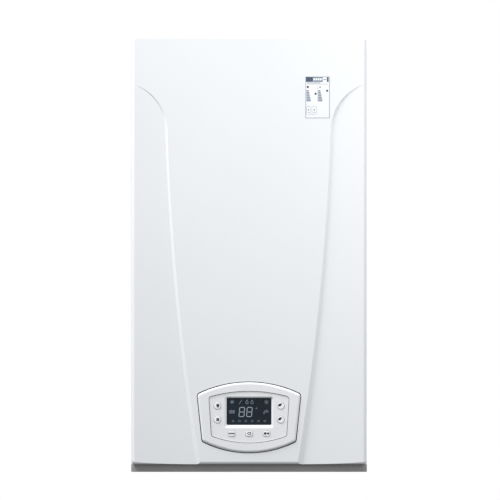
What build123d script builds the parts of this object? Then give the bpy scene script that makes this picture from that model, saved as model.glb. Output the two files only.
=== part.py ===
from build123d import *
import os
from math import cos, radians, sin

os.makedirs("parts", exist_ok=True)

# Sizes are in millimetres. Heights are measured from the lowest edge of the casing, and depths from
# the wall towards the room. The model's origin is on the wall, midway between the bracket's holes.

# Casing
case_width = 400
case_height = 740
case_depth = 300
sheet = 1.0
heavy_sheet = 1.5
seam = 0.3
flange = 14
frame_flange = 20
hang_drop = 55
top_recess = 8

# Front cover
cover_inset = 1.5
cover_depth = 58
cover_corner = 8
cover_round = 5
crease_foot = 79.5
crease_waist = 117.5
crease_shoulder = 136.5
crease_tip = 181.5
shoulder_drop = 160
tip_drop = 88
shoulder_radius = 78.5
relief_depth = 4.5
step_run = 1.8

# Lower skirt and base plate
skirt_height = 12.7
skirt_setback = 10
skirt_corner = 8
base_height = 40
base_gap = 13
base_fold = 14

# Bezel and fascia in the cover's window
bezel_half_top = 87.8
bezel_half_foot = 79.2
bezel_top = 152.2
bezel_foot = 32.9
bezel_rise = 20.8
bezel_sag = 19.3
bezel_corner = 6
bezel_gap = 1.2
bezel_proud = 2.0
bezel_round = 4
fascia_half_top = 67.8
fascia_half_foot = 63.6
fascia_top = 136.6
fascia_foot = 49.7
fascia_rise = 9.8
fascia_sag = 11.7
fascia_corner = 5
fascia_gap = 0.8
fascia_proud = 0.8
fascia_wall = 2.5
bezel_depth = 12

# Display and buttons
display_width = 76
display_height = 46
display_centre = 102.7
display_lap = 3
ledge_depth = 2.2
ledge_side = 3.5
ledge_above = 2.2
ledge_below = 5.5
window_thickness = 2.0
round_button = 13
round_button_x = 53.7
upper_button_height = 112.4
lower_button_height = 88.8
key_width = 13
key_height = 10.7
key_pitch = 29.7
key_centre = 65.3
button_gap = 0.6
button_flange = 1.0
button_proud = 0.8
button_travel = 1.2
stem_radius = 2.0

# Control box and its hinge
box_half_width = 150
box_foot = 22
box_top = 172
box_wall = 2.5
box_thickness = 72
hinge_setback = 24
hinge_height = 42
hinge_pin = 3.0
pin_clearance = 0.1
board_thickness = 1.6
board_half_width = 118
board_setback = 38

# Wall bracket
bracket_half_width = 150
bracket_height = 50
bracket_plate = 2.0
bracket_hole = 5.0
bracket_hole_pitch = 200
bracket_reach = 12

# Sealed chamber
chamber_back = 90
chamber_gap = 7.5
chamber_foot = 262
lid_margin = 6
lid_boss = 3

# Flue
flue_depth = 160
inner_flue = 30
outer_flue = 50
collar_flange = 64
collar_wall = 2.5
collar_proud = 6.5
collar_deep = 12

# Fan
scroll_radius = 44
scroll_drop = 68
scroll_offset = 20
fan_half_width = 24
fan_wall = 1.5
impeller_radius = 37
impeller_blades = 24
fan_shaft = 3.0
motor_radius = 28
motor_length = 36

# Burner and heat exchanger
fire_half_width = 112
fire_back = 112
fire_front = 212
burner_rise = 38
burner_height = 44
burner_bars = 11
fire_height = 160
board_wall = 10
exchanger_height = 48
fin_count = 34
fin_thickness = 0.8
tube_radius = 8
tube_count = 4
header_radius = 9

# Pipes under the base plate
pipe_pitch = 65
pipe_depth = 110
stub_foot = 4
large_thread = 13.22
small_thread = 10.48
nut_height = 12
pipe_wall = 1.0
gland_x = -178
gland_depth = 140
gland_radius = 8
gland_bore = 4

# Water and gas side
valve_foot = 156
valve_top = 206
gas_depth = 132
group_radius = 17
group_top = 128
exchanger_half_width = 80
plate_front = 203
plate_back = 165
plate_foot = 58
plate_top = 126
plate_count = 26
hot_port = 75
heating_port = 109
valve_port = 80
volute_radius = 45
volute_height = 182
volute_half_width = 22
pump_motor_radius = 38
pump_motor_length = 66
rotor_radius = 12
tank_half_width = 138
tank_foot = 278
tank_height = 400
tank_back = 4
tank_front = 76
tank_corner = 40
tank_round = 20

# Screws
screw_radius = 2.0
screw_head = 3.6
screw_head_height = 2.2

# Sizes worked out from the ones above
hang_height = case_height - hang_drop
floor = -hang_height
deck = case_height - top_recess
inner_half_width = case_width / 2 - sheet
cover_half_width = case_width / 2 - cover_inset
cover_back = case_depth - cover_depth
panel_front = cover_back - 0.5
lip_back = frame_flange + seam
chamber_front = panel_front - chamber_gap
cover_foot = skirt_height + seam
base_top = base_height + heavy_sheet
chamber_half_width = inner_half_width - seam
chamber_top = deck - sheet - seam
box_front = case_depth - bezel_depth + bezel_proud
box_back = box_front - box_thickness
base_front = box_back - base_gap
hinge_depth = case_depth - hinge_setback
board_depth = case_depth - board_setback
bezel_front = case_depth + bezel_proud
fascia_front = case_depth + fascia_proud
fascia_inner = fascia_front - fascia_wall
window_front = fascia_inner - seam
window_back = window_front - window_thickness
scroll_height = chamber_top - scroll_drop
burner_foot = chamber_foot + burner_rise
fire_foot = burner_foot + burner_height + seam
fire_top = fire_foot + fire_height
fin_foot = fire_top + seam
fin_top = fin_foot + exchanger_height
heating_x = 2 * pipe_pitch
fire_depth = (fire_back + fire_front) / 2
fan_back = flue_depth - fan_half_width
fan_front = flue_depth + fan_half_width


def front_plane(depth):
    """Plane facing the room, with x to the right and y as the height."""
    return Plane(origin=(0, -depth, floor), x_dir=(1, 0, 0), z_dir=(0, -1, 0))


def level_plane(height):
    """Level plane at a height of the casing."""
    return Plane.XY.offset(floor + height)


def side_plane(x):
    """Upright plane across the width, with x as minus the depth and y as the height."""
    return Plane(origin=(x, 0, floor), x_dir=(0, 1, 0), z_dir=(1, 0, 0))


def block(across, depth, height, mode=Mode.ADD):
    """Box between two limits in x, in depth and in height."""
    centre = (sum(across) / 2, -sum(depth) / 2, floor + sum(height) / 2)
    with Locations(centre):
        Box(across[1] - across[0], depth[1] - depth[0], height[1] - height[0], mode=mode)


def rod_up(x, depth, radius, height, mode=Mode.ADD):
    """Upright cylinder between two heights."""
    with Locations((x, -depth, floor + sum(height) / 2)):
        Cylinder(radius, height[1] - height[0], mode=mode)


def rod_across(depth, height, radius, across, mode=Mode.ADD):
    """Cylinder along x between two places."""
    with Locations((sum(across) / 2, -depth, floor + height)):
        Cylinder(radius, across[1] - across[0], rotation=(0, 90, 0), mode=mode)


def rod_forward(x, height, radius, depth, mode=Mode.ADD):
    """Cylinder towards the room between two depths."""
    with Locations((x, -sum(depth) / 2, floor + height)):
        Cylinder(radius, depth[1] - depth[0], rotation=(90, 0, 0), mode=mode)


def bent_pipe(points, bend, radius, wall):
    """Tube through points given as x, depth and height, with one bend radius."""
    corners = [(x, -depth, floor + height) for x, depth, height in points]
    with BuildLine() as route:
        FilletPolyline(*corners, radius=bend)
    with BuildSketch(Plane(origin=route.line @ 0, z_dir=route.line % 0)) as section:
        Circle(radius)
        if wall:
            Circle(radius - wall, mode=Mode.SUBTRACT)
    sweep(section.sketch, path=route.line)


def hex_nut(x, depth, size, height):
    """Hexagonal part of an upright fitting; size is its radius to the corners."""
    with BuildSketch(level_plane(height[0])) as outline:
        with Locations((x, -depth)):
            RegularPolygon(size, 6)
    extrude(outline.sketch, amount=height[1] - height[0])


def threaded_stub(x, radius, height):
    """Stub with a male thread below the base plate and a nut above the thread."""
    rod_up(x, pipe_depth, radius, (stub_foot, base_height - nut_height))
    hex_nut(x, pipe_depth, radius * 1.3, (base_height - nut_height, base_height - 1))
    rod_up(x, pipe_depth, radius - 2, (base_height - nut_height, height))


def write(piece, name):
    """Names a finished piece and writes its file."""
    piece.part.label = name
    export_step(piece.part, f"parts/{name}.step")


# Wall bracket: a strip screwed to the wall, with a ledge and a lip that the back frame hooks over.
def make_wall_bracket():
    foot = hang_height - bracket_height / 2
    top = hang_height + bracket_height / 2
    with BuildPart() as bracket:
        block((-bracket_half_width, bracket_half_width), (0, bracket_plate), (foot, top))
        block(
            (-bracket_half_width, bracket_half_width),
            (0, bracket_reach),
            (top - bracket_plate, top),
        )
        block(
            (-bracket_half_width, bracket_half_width),
            (bracket_reach - bracket_plate, bracket_reach),
            (top - bracket_plate, top + 14),
        )
        for x in (-bracket_hole_pitch / 2, bracket_hole_pitch / 2):
            rod_forward(x, hang_height, bracket_hole, (-1, bracket_plate + 1), Mode.SUBTRACT)
    write(bracket, "wall_bracket")


# Back frame: folded sheet with a window for the bracket and a down-turned flange that hangs on it.
def make_back_frame():
    half = chamber_half_width
    window_foot = hang_height - bracket_height / 2 - 5
    window_top = hang_height + bracket_height / 2 + 18
    with BuildPart() as frame:
        block((-half, half), (0, heavy_sheet), (1, chamber_top))
        for x in (-half, half - heavy_sheet):
            block((x, x + heavy_sheet), (0, frame_flange), (1, chamber_top))
        window = bracket_half_width + 8
        block((-window, window), (-1, 2), (window_foot, window_top), Mode.SUBTRACT)
        shelf = window_top + heavy_sheet
        block((-window + 10, window - 10), (0, 8), (window_top, shelf))
        hook_foot = hang_height + bracket_height / 2
        block((-window + 10, window - 10), (6.5, 8), (hook_foot, shelf))
    write(frame, "back_frame")


# Side panels: sheet with a return flange at the front and the rear.
def make_side_panels():
    for side, name in ((-1, "side_panel_left"), (1, "side_panel_right")):
        wall = sorted((side * inner_half_width, side * case_width / 2))
        lip = sorted((side * (case_width / 2 - flange), side * case_width / 2))
        with BuildPart() as panel:
            block(wall, (0, panel_front), (skirt_height, case_height))
            block(lip, (panel_front - sheet, panel_front), (skirt_height, case_height))
            block(lip, (lip_back, lip_back + sheet), (skirt_height, chamber_top))
        write(panel, name)


# Top plate: sheet set below the casing's edge, with an opening for the flue and a front edge
# folded up behind the cover.
def make_top_plate():
    half = inner_half_width - seam
    front = panel_front - sheet - seam
    with BuildPart() as plate:
        block((-half, half), (0, front), (deck - sheet, deck))
        block((-half, half), (front - sheet, front), (deck, case_height - seam))
        rod_up(0, flue_depth, outer_flue + 4, (deck - 5, deck + 5), Mode.SUBTRACT)
    write(plate, "top_plate")


# Base plate: heavier sheet that carries the water and gas fittings.
def make_base_plate():
    half = inner_half_width - seam
    with BuildPart() as plate:
        block((-half, half), (heavy_sheet + seam, base_front), (base_height, base_top))
        block((-half, half), (base_front - heavy_sheet, base_front), (base_height - base_fold, base_top))
        notch = lip_back + sheet + seam
        for x in (-half, half - heavy_sheet):
            block((x, x + heavy_sheet), (notch, base_front), (base_height - base_fold, base_top))
        for x in (-half - 1, half - flange + seam):
            corner = (x, x + flange + 1)
            block(corner, (0, notch), (base_height - 20, base_top + 5), Mode.SUBTRACT)
        for x in range(-2, 3):
            rod_up(x * pipe_pitch, pipe_depth, large_thread, (20, 60), Mode.SUBTRACT)
        rod_up(heating_x, 150, 7, (20, 60), Mode.SUBTRACT)
        rod_up(1.5 * pipe_pitch, pipe_depth, 6, (20, 60), Mode.SUBTRACT)
        rod_up(gland_x, gland_depth, gland_radius + seam, (20, 60), Mode.SUBTRACT)
    write(plate, "base_plate")


# Lower skirt: rail round the foot of the casing, open to the wall, with a flange at its top.
def make_lower_skirt():
    front = case_depth - skirt_setback
    half = case_width / 2
    with BuildPart() as skirt:
        for inset, mode in ((0, Mode.ADD), (sheet, Mode.SUBTRACT)):
            with BuildSketch(level_plane(0)):
                with Locations((0, inset - front / 2)):
                    Rectangle(2 * half - 2 * inset, front)
                fillet(vertices().group_by(Axis.Y)[0], skirt_corner - inset)
            extrude(amount=skirt_height, mode=mode)
        with BuildSketch(level_plane(skirt_height - sheet)):
            with Locations((0, -(front + 22) / 2)):
                Rectangle(2 * half - 2 * skirt_corner, front - 22)
            with Locations((0, -(front - skirt_corner + 22) / 2)):
                Rectangle(2 * half - 0.5, front - skirt_corner - 22)
            with Locations((0, -(front - flange) / 2)):
                Rectangle(2 * half - 2 * flange, front - flange, mode=Mode.SUBTRACT)
        extrude(amount=sheet)
        for x in (-140, 140):
            rod_up(x, front - flange / 2, screw_radius + 0.1, (8, 20), Mode.SUBTRACT)
    write(skirt, "lower_skirt")


def crease_area(side):
    """Front view of one side zone, bounded by its crease."""
    shoulder = case_height - shoulder_drop
    tip = case_height - tip_drop
    below = cover_foot - 5
    outside = case_width / 2 + 40
    waist = (shoulder + below) / 2
    lean = radians(32.4)
    centre = crease_shoulder + shoulder_radius
    middle = (centre - shoulder_radius * cos(lean), shoulder + shoulder_radius * sin(lean))
    rise = (outside - crease_tip) / 2
    with BuildLine() as outline:
        ThreePointArc(
            (side * crease_tip, tip),
            (side * middle[0], middle[1]),
            (side * crease_shoulder, shoulder),
        )
        ThreePointArc(
            (side * crease_shoulder, shoulder),
            (side * crease_waist, waist),
            (side * crease_foot, below),
        )
        Polyline(
            (side * crease_foot, below),
            (side * outside, below),
            (side * outside, tip + rise),
            (side * crease_tip, tip),
        )
    make_face(outline.edges())


def side_relief(side, face):
    """Wedge in front of one sunk side zone, with the crease's sloping step as its inner wall."""
    edge = cover_half_width - cover_round
    run = edge - crease_foot
    deep = 2 * relief_depth
    drift = Vector(side * step_run, 1, 0)
    sunk = Plane(
        origin=(side * edge, -face, floor),
        x_dir=(0, 0, 1),
        z_dir=(-side * relief_depth, -run, 0),
    )
    with BuildPart() as wedge:
        with BuildSketch(front_plane(face + 1)):
            crease_area(side)
        extrude(amount=(deep + 1) * drift.length, dir=drift)
        split(bisect_by=sunk, keep=Keep.TOP)
    return wedge.part


def cover_form(inset, back):
    """Outer form of the cover, or with an inset of the sheet, its hollow."""
    face = case_depth - inset
    half = cover_half_width - inset
    foot = cover_foot + inset
    top = case_height - inset
    with BuildPart() as form:
        with BuildSketch(front_plane(back)):
            with Locations((0, (foot + top) / 2)):
                Rectangle(2 * half, top - foot)
            fillet(vertices().group_by(Axis.Y)[-1], cover_corner - inset)
            fillet(vertices().group_by(Axis.Y)[0], cover_round - inset + 0.5)
        extrude(amount=face - back)
        rim = form.faces().sort_by(Axis.Y)[0].edges()
        fillet(rim, cover_round - inset)
        for side in (-1, 1):
            add(side_relief(side, face), mode=Mode.SUBTRACT)
    return form.part


def bowed_outline(half_top, top, rise, half_foot, foot, sag, corner):
    """Tapering outline with a bowed top and foot."""
    with BuildLine() as outline:
        ThreePointArc((-half_top, top - rise), (0, top), (half_top, top - rise))
        Line((half_top, top - rise), (half_foot, foot + sag))
        ThreePointArc((half_foot, foot + sag), (0, foot), (-half_foot, foot + sag))
        Line((-half_foot, foot + sag), (-half_top, top - rise))
    face = make_face(outline.edges())
    fillet(face.vertices(), corner)


def bezel_outline(grow):
    """Outline of the bezel, or of the window around it."""
    bowed_outline(
        bezel_half_top + grow,
        bezel_top + grow,
        bezel_rise,
        bezel_half_foot + grow,
        bezel_foot - grow,
        bezel_sag,
        bezel_corner + grow,
    )


def fascia_outline(grow):
    """Outline of the fascia, or of the bezel's inner edge."""
    bowed_outline(
        fascia_half_top + grow,
        fascia_top + grow,
        fascia_rise,
        fascia_half_foot + grow,
        fascia_foot - grow,
        fascia_sag,
        fascia_corner + grow,
    )


# Front cover: pan pressed from one sheet, with two creases and a window for the bezel.
def make_front_cover():
    with BuildPart() as cover:
        add(cover_form(0, cover_back))
        add(cover_form(sheet, cover_back - 1), mode=Mode.SUBTRACT)
        with BuildSketch(front_plane(case_depth - 20)):
            bezel_outline(bezel_gap)
        extrude(amount=40, mode=Mode.SUBTRACT)
        slot_front = case_depth - skirt_setback - flange / 2 + screw_radius + 1
        for x in (-140, 140):
            block(
                (x - screw_radius - 0.5, x + screw_radius + 0.5),
                (cover_back - 1, slot_front),
                (cover_foot - 1, cover_foot + sheet + 1),
                Mode.SUBTRACT,
            )
    write(cover, "front_cover")


# Bezel: moulded ring round the fascia, rounded at its front edge.
def make_bezel():
    with BuildPart() as bezel:
        with BuildSketch(front_plane(box_front)):
            bezel_outline(0)
        extrude(amount=bezel_front - box_front)
        fillet(bezel.faces().sort_by(Axis.Y)[0].edges(), bezel_round)
        with BuildSketch(front_plane(box_front)):
            fascia_outline(fascia_gap)
        extrude(amount=bezel_front - box_front, mode=Mode.SUBTRACT)
    write(bezel, "bezel")


def button_places():
    """Centre and kind of each button in the front view."""
    places = []
    for x, side in ((-round_button_x, "left"), (round_button_x, "right")):
        places.append((f"button_{side}_upper", x, upper_button_height, "round"))
        places.append((f"button_{side}_lower", x, lower_button_height, "round"))
    for x, name in ((-key_pitch, "key_left"), (0, "key_middle"), (key_pitch, "key_right")):
        places.append((name, x, key_centre, "key"))
    return places


def button_outline(x, height, kind, grow):
    """Front view of a button or, grown, of its hole or flange."""
    with Locations((x, height)):
        if kind == "round":
            Circle(round_button / 2 + grow)
        else:
            RectangleRounded(key_width + 2 * grow, key_height + 2 * grow, 3.5 + grow)


# Fascia: thin moulded cap with the display opening, its sloping ledge and the button holes.
def make_fascia():
    with BuildPart() as fascia:
        with BuildSketch(front_plane(box_front)):
            fascia_outline(0)
        extrude(amount=fascia_front - box_front)
        with BuildSketch(front_plane(box_front)):
            fascia_outline(-fascia_wall)
        extrude(amount=fascia_inner - box_front, mode=Mode.SUBTRACT)
        with BuildSketch(front_plane(fascia_inner)):
            with Locations((0, display_centre)):
                RectangleRounded(display_width, display_height, 2)
            for _, x, height, kind in button_places():
                button_outline(x, height, kind, 0)
        extrude(amount=fascia_wall + 1, mode=Mode.SUBTRACT)
        with BuildSketch(front_plane(fascia_front - ledge_depth)):
            with Locations((0, display_centre)):
                RectangleRounded(display_width, display_height, 2)
        with BuildSketch(front_plane(fascia_front)):
            with Locations((0, display_centre + (ledge_above - ledge_below) / 2)):
                RectangleRounded(
                    display_width + 2 * ledge_side,
                    display_height + ledge_above + ledge_below,
                    4,
                )
        loft(ruled=True, mode=Mode.SUBTRACT)
    write(fascia, "fascia")


# Display window: smoked plate behind the opening.
def make_display_window():
    with BuildPart() as window:
        with BuildSketch(front_plane(window_back)):
            with Locations((0, display_centre)):
                RectangleRounded(
                    display_width + 2 * display_lap,
                    display_height + 2 * display_lap,
                    3,
                )
        extrude(amount=window_thickness)
    write(window, "display_window")


# Buttons: moulded caps with a flange behind the fascia and a stem to the switch.
def make_buttons():
    flange_front = fascia_inner - seam
    flange_back = flange_front - 1.6
    for name, x, height, kind in button_places():
        with BuildPart() as button:
            with BuildSketch(front_plane(flange_back)):
                button_outline(x, height, kind, -button_gap)
            extrude(amount=fascia_front + button_proud - flange_back)
            fillet(button.faces().sort_by(Axis.Y)[0].edges(), 0.7)
            with BuildSketch(front_plane(flange_back)):
                button_outline(x, height, kind, button_flange)
            extrude(amount=flange_front - flange_back)
            stem_back = board_depth + board_thickness + 2 + button_travel + seam
            rod_forward(x, height, stem_radius, (stem_back, flange_back + 0.5))
        write(button, name)


# Control box: moulded housing that tilts on two pins near its lower front edge.
def make_control_box():
    with BuildPart() as box:
        block((-box_half_width, box_half_width), (box_back, box_front), (box_foot, box_top))
        fillet(box.edges().filter_by(Axis.Y), 6)
        block(
            (-box_half_width + box_wall, box_half_width - box_wall),
            (box_back + box_wall, box_front - box_wall),
            (box_foot + box_wall, box_top - box_wall),
            Mode.SUBTRACT,
        )
        with BuildSketch(front_plane(box_front - box_wall - 1)):
            fascia_outline(-fascia_wall - 1)
        extrude(amount=box_wall + 2, mode=Mode.SUBTRACT)
        for x in (-box_half_width - 1, box_half_width - box_wall - 1):
            rod_across(hinge_depth, hinge_height, hinge_pin, (x, x + box_wall + 2), Mode.SUBTRACT)
        for x in (-board_half_width + 8, board_half_width - 8):
            for height in (58, 140):
                rod_forward(x, height, 4, (box_back + 1, board_depth))
    write(box, "control_box")


# Hinge pins: headed steel pins through the box's side walls into the brackets.
def make_hinge_pins():
    with BuildPart() as pins:
        for side in (-1, 1):
            inner = side * (box_half_width - box_wall)
            span = sorted((inner, side * (box_half_width + 5.5)))
            head = sorted((inner - side * 2, inner))
            rod_across(hinge_depth, hinge_height, hinge_pin, span)
            rod_across(hinge_depth, hinge_height, hinge_pin + 2, head)
    write(pins, "hinge_pins")


# Control brackets: folded arms on the base plate that hold the pins.
def make_control_brackets():
    near = box_half_width + 1.5
    far = near + 2
    foot = base_top
    with BuildPart() as brackets:
        for side in (-1, 1):
            outline = [
                (-170, foot),
                (-base_front - 1, foot),
                (-base_front - 1, hinge_height - 12),
                (-hinge_depth - 8, hinge_height - 12),
                (-hinge_depth - 8, hinge_height + 10),
                (-base_front - 8, foot + 14),
                (-170, foot + 14),
            ]
            with BuildSketch(side_plane(min(side * near, side * far))):
                with BuildLine():
                    Polyline(*outline, close=True)
                make_face()
                with Locations((-hinge_depth, hinge_height)):
                    Circle(hinge_pin + pin_clearance, mode=Mode.SUBTRACT)
            extrude(amount=far - near)
            foot_span = sorted((side * near, side * (near + 16)))
            block(foot_span, (170, base_front), (foot, foot + 2))
    write(brackets, "control_brackets")


# Circuit board: with the display module, switches, relays, transformer and terminals.
def make_circuit_board():
    front = board_depth + board_thickness
    with BuildPart() as board:
        block(
            (-board_half_width, board_half_width),
            (board_depth, front),
            (48, 150),
        )
        half = display_width / 2 + 1
        rise = display_height / 2 + 1
        block(
            (-half, half),
            (front, window_back - seam),
            (display_centre - rise, display_centre + rise),
        )
        for _, x, height, _ in button_places():
            block((x - 3, x + 3), (front, front + 2), (height - 3, height + 3))
        block((-104, -66), (board_depth - 32, board_depth), (72, 108))
        for x in (-40, -16, 8):
            block((x, x + 18), (board_depth - 16, board_depth), (118, 142))
        for x in range(4):
            block((40 + 16 * x, 52 + 16 * x), (board_depth - 14, board_depth), (54, 70))
        for x in (50, 72):
            rod_forward(x, 110, 8, (board_depth - 24, board_depth))
    write(board, "circuit_board")


# Chamber box: sheet tray that seals the fire from the room, open only through the flue.
def make_chamber_box():
    half = chamber_half_width
    with BuildPart() as chamber:
        block((-half, half), (chamber_back, chamber_front), (chamber_foot, chamber_top))
        block(
            (-half + sheet, half - sheet),
            (chamber_back + sheet, chamber_front - sheet),
            (chamber_foot + sheet, chamber_top - sheet),
            Mode.SUBTRACT,
        )
        block(
            (-half + flange, half - flange),
            (chamber_front - 3, chamber_front + 1),
            (chamber_foot + flange, chamber_top - flange),
            Mode.SUBTRACT,
        )
        rod_up(0, flue_depth, outer_flue + 4, (chamber_top - 5, chamber_top + 5), Mode.SUBTRACT)
        for x in (-heating_x, heating_x):
            rod_up(x, pipe_depth, 9.5, (chamber_foot - 5, chamber_foot + 5), Mode.SUBTRACT)
        rod_up(0, gas_depth, 7.5, (chamber_foot - 5, chamber_foot + 5), Mode.SUBTRACT)
    write(chamber, "chamber_box")


def lid_screw_places():
    """Centres of the lid's screws in the front view."""
    x = chamber_half_width - flange / 2 - 4
    low = chamber_foot + flange / 2 + 1
    high = chamber_top - flange / 2 - 1
    middle = (low + high) / 2
    places = [(-x, low), (0, low), (x, low), (-x, high), (0, high), (x, high)]
    return places + [(-x, middle), (x, middle)]


# Chamber lid: plate with a raised field and a hole for the sight glass.
def make_chamber_lid():
    half = chamber_half_width - lid_margin
    low = chamber_foot + lid_margin - 4
    high = chamber_top - lid_margin + 4
    front = chamber_front + sheet
    with BuildPart() as lid:
        block((-half, half), (chamber_front, front), (low, high))
        with BuildSketch(front_plane(chamber_front)):
            with Locations((0, (low + high) / 2)):
                RectangleRounded(2 * half - 50, high - low - 50, 14)
        extrude(amount=lid_boss + sheet, taper=30)
        with BuildSketch(front_plane(chamber_front - 1)):
            with Locations((0, (low + high) / 2)):
                RectangleRounded(2 * half - 53, high - low - 53, 13)
        extrude(amount=lid_boss + 1, taper=30, mode=Mode.SUBTRACT)
        rod_forward(0, sight_height(), 11, (chamber_front - 5, front + 10), Mode.SUBTRACT)
        for x, height in lid_screw_places():
            hole = screw_radius + 0.3
            rod_forward(x, height, hole, (chamber_front - 1, front + 1), Mode.SUBTRACT)
    write(lid, "chamber_lid")


def sight_height():
    """Height of the sight glass, in front of the flames."""
    return fire_foot + 30


# Sight glass: round glass in a rolled rim on the lid.
def make_sight_glass():
    back = chamber_front + lid_boss + sheet
    with BuildPart() as glass:
        rod_forward(0, sight_height(), 10.8, (chamber_front + 0.5, back))
        rod_forward(0, sight_height(), 15, (back, back + 1.8))
    write(glass, "sight_glass")


# Screws: pan-head screws of the lid, the collar and the cover.
def make_screws():
    with BuildPart() as screws:
        for x, height in lid_screw_places():
            head = chamber_front + sheet
            rod_forward(x, height, screw_head, (head, head + screw_head_height))
            rod_forward(x, height, screw_radius, (chamber_front, head))
        for x in (-140, 140):
            depth = case_depth - skirt_setback - flange / 2
            under = skirt_height - sheet
            rod_up(x, depth, screw_head, (under - screw_head_height, under))
            rod_up(x, depth, screw_radius, (under, cover_foot + sheet + 2))
        for turn in (45, 135, 225, 315):
            x = (collar_flange - 6) * cos(radians(turn))
            depth = flue_depth + (collar_flange - 6) * sin(radians(turn))
            head = deck + 2
            rod_up(x, depth, screw_head, (head, head + screw_head_height))
            rod_up(x, depth, screw_radius, (deck, head))
    write(screws, "screws")


# Flue collar: cast ring with two sockets, the inner for the flue gas and the outer for the air.
def make_flue_collar():
    foot = deck - collar_deep
    top = deck + collar_proud
    with BuildPart() as collar:
        rod_up(0, flue_depth, collar_flange, (deck, deck + 2))
        rod_up(0, flue_depth, outer_flue + collar_wall, (foot, top))
        rod_up(0, flue_depth, outer_flue, (foot - 1, top + 1), Mode.SUBTRACT)
        rod_up(0, flue_depth, inner_flue + collar_wall, (foot, top))
        for turn in (30, 150, 270):
            with Locations(Location((0, -flue_depth, floor + foot + 1.5), (0, 0, turn))):
                Box(outer_flue + 0.5, 3, 3, align=(Align.MIN, Align.CENTER, Align.CENTER))
        rod_up(0, flue_depth, inner_flue, (foot - 1, top + 1), Mode.SUBTRACT)
        for turn in (45, 135, 225, 315):
            x = (collar_flange - 6) * cos(radians(turn))
            depth = flue_depth + (collar_flange - 6) * sin(radians(turn))
            hole = screw_radius + 0.2
            rod_up(x, depth, hole, (deck - 1, deck + 3), Mode.SUBTRACT)
    write(collar, "flue_collar")


# Fan housing: scroll with a round spigot that meets the collar's inner socket.
def make_fan_housing():
    spigot = inner_flue + collar_wall
    throat_top = scroll_height + scroll_radius
    spigot_top = deck - collar_deep - seam
    right = scroll_radius - scroll_offset
    with BuildPart() as housing:
        rod_forward(-scroll_offset, scroll_height, scroll_radius, (fan_back, fan_front))
        block((-right, right), (fan_back, fan_front), (scroll_height, throat_top))
        rod_up(0, flue_depth, spigot, (throat_top - 0.5, spigot_top))
        inner = (fan_back + fan_wall, fan_front - fan_wall)
        rod_forward(
            -scroll_offset,
            scroll_height,
            scroll_radius - fan_wall,
            inner,
            Mode.SUBTRACT,
        )
        block(
            (-right + fan_wall, right - fan_wall),
            inner,
            (scroll_height, throat_top - fan_wall),
            Mode.SUBTRACT,
        )
        rod_up(0, flue_depth, right - fan_wall, (throat_top - 3, spigot_top + 1), Mode.SUBTRACT)
        rod_up(0, flue_depth, spigot - fan_wall, (throat_top, spigot_top + 1), Mode.SUBTRACT)
        rod_forward(
            -scroll_offset,
            scroll_height,
            26,
            (fan_back - 1, fan_back + fan_wall + 1),
            Mode.SUBTRACT,
        )
        rod_forward(
            -scroll_offset,
            scroll_height,
            fan_shaft + 2,
            (fan_front - fan_wall - 1, fan_front + 1),
            Mode.SUBTRACT,
        )
    write(housing, "fan_housing")


# Fan motor: shaded-pole motor on the front of the scroll.
def make_fan_motor():
    with BuildPart() as motor:
        rod_forward(-scroll_offset, scroll_height, motor_radius, (fan_front, fan_front + 6))
        block(
            (-scroll_offset - 22, -scroll_offset + 22),
            (fan_front + 6, fan_front + motor_length - 6),
            (scroll_height - 24, scroll_height + 20),
        )
        rod_forward(
            -scroll_offset,
            scroll_height,
            15,
            (fan_front + motor_length - 6, fan_front + motor_length),
        )
        rod_forward(
            -scroll_offset,
            scroll_height,
            fan_shaft + 0.1,
            (fan_front - 1, fan_front + 20),
            Mode.SUBTRACT,
        )
    write(motor, "fan_motor")


# Fan impeller: disc with forward-curved blades, a ring and the shaft.
def make_fan_impeller():
    back = fan_back + fan_wall + 3
    front = fan_front - fan_wall - 3
    centre = (-scroll_offset, 0, floor + scroll_height)
    with BuildPart() as impeller:
        rod_forward(-scroll_offset, scroll_height, impeller_radius, (front - 1.5, front))
        rod_forward(-scroll_offset, scroll_height, impeller_radius, (back, back + 1.5))
        rod_forward(
            -scroll_offset,
            scroll_height,
            impeller_radius - 8,
            (back - 1, back + 2.5),
            Mode.SUBTRACT,
        )
        rod_forward(-scroll_offset, scroll_height, 7, (front - 14, front))
        rod_forward(-scroll_offset, scroll_height, fan_shaft, (front - 14, fan_front + 18))
        for index in range(impeller_blades):
            turn = index * 360 / impeller_blades
            radius = impeller_radius - 4.2
            place = (
                centre[0] + radius * cos(radians(turn)),
                -(back + front) / 2,
                centre[2] + radius * sin(radians(turn)),
            )
            with Locations(Location(place, (0, 25 - turn, 0))):
                Box(7, front - back - 1, 1)
    write(impeller, "fan_impeller")


# Flue hood: folded sheet that gathers the flue gas and leads it to the back of the fan.
def make_flue_hood():
    foot = fin_top + seam
    neck = scroll_height - scroll_radius - 4
    riser_top = scroll_height + scroll_radius - 4
    riser_back = fan_back - 26
    riser_front = fan_back
    riser_half = 48
    with BuildPart() as hood:
        for inset in (0, sheet):
            mode = Mode.SUBTRACT if inset else Mode.ADD
            with BuildSketch(level_plane(foot - inset)):
                with Locations((0, -fire_depth)):
                    Rectangle(2 * fire_half_width - 2 * inset, fire_front - fire_back - 2 * inset)
            with BuildSketch(level_plane(neck - inset)):
                with Locations((-scroll_offset, -(riser_back + riser_front) / 2)):
                    Rectangle(2 * riser_half - 2 * inset, riser_front - riser_back - 2 * inset)
            loft(ruled=True, mode=mode)
            block(
                (-scroll_offset - riser_half + inset, -scroll_offset + riser_half - inset),
                (riser_back + inset, riser_front - inset),
                (neck - 3 * inset, riser_top - inset),
                mode,
            )
        rod_forward(
            -scroll_offset,
            scroll_height,
            26,
            (riser_front - 3, riser_front + 1),
            Mode.SUBTRACT,
        )
        for height in (scroll_height, scroll_height + 24):
            nipple = -scroll_offset - riser_half
            rod_across((riser_back + riser_front) / 2, height, 2.5, (nipple - 9, nipple + 1))
    write(hood, "flue_hood")


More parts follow.
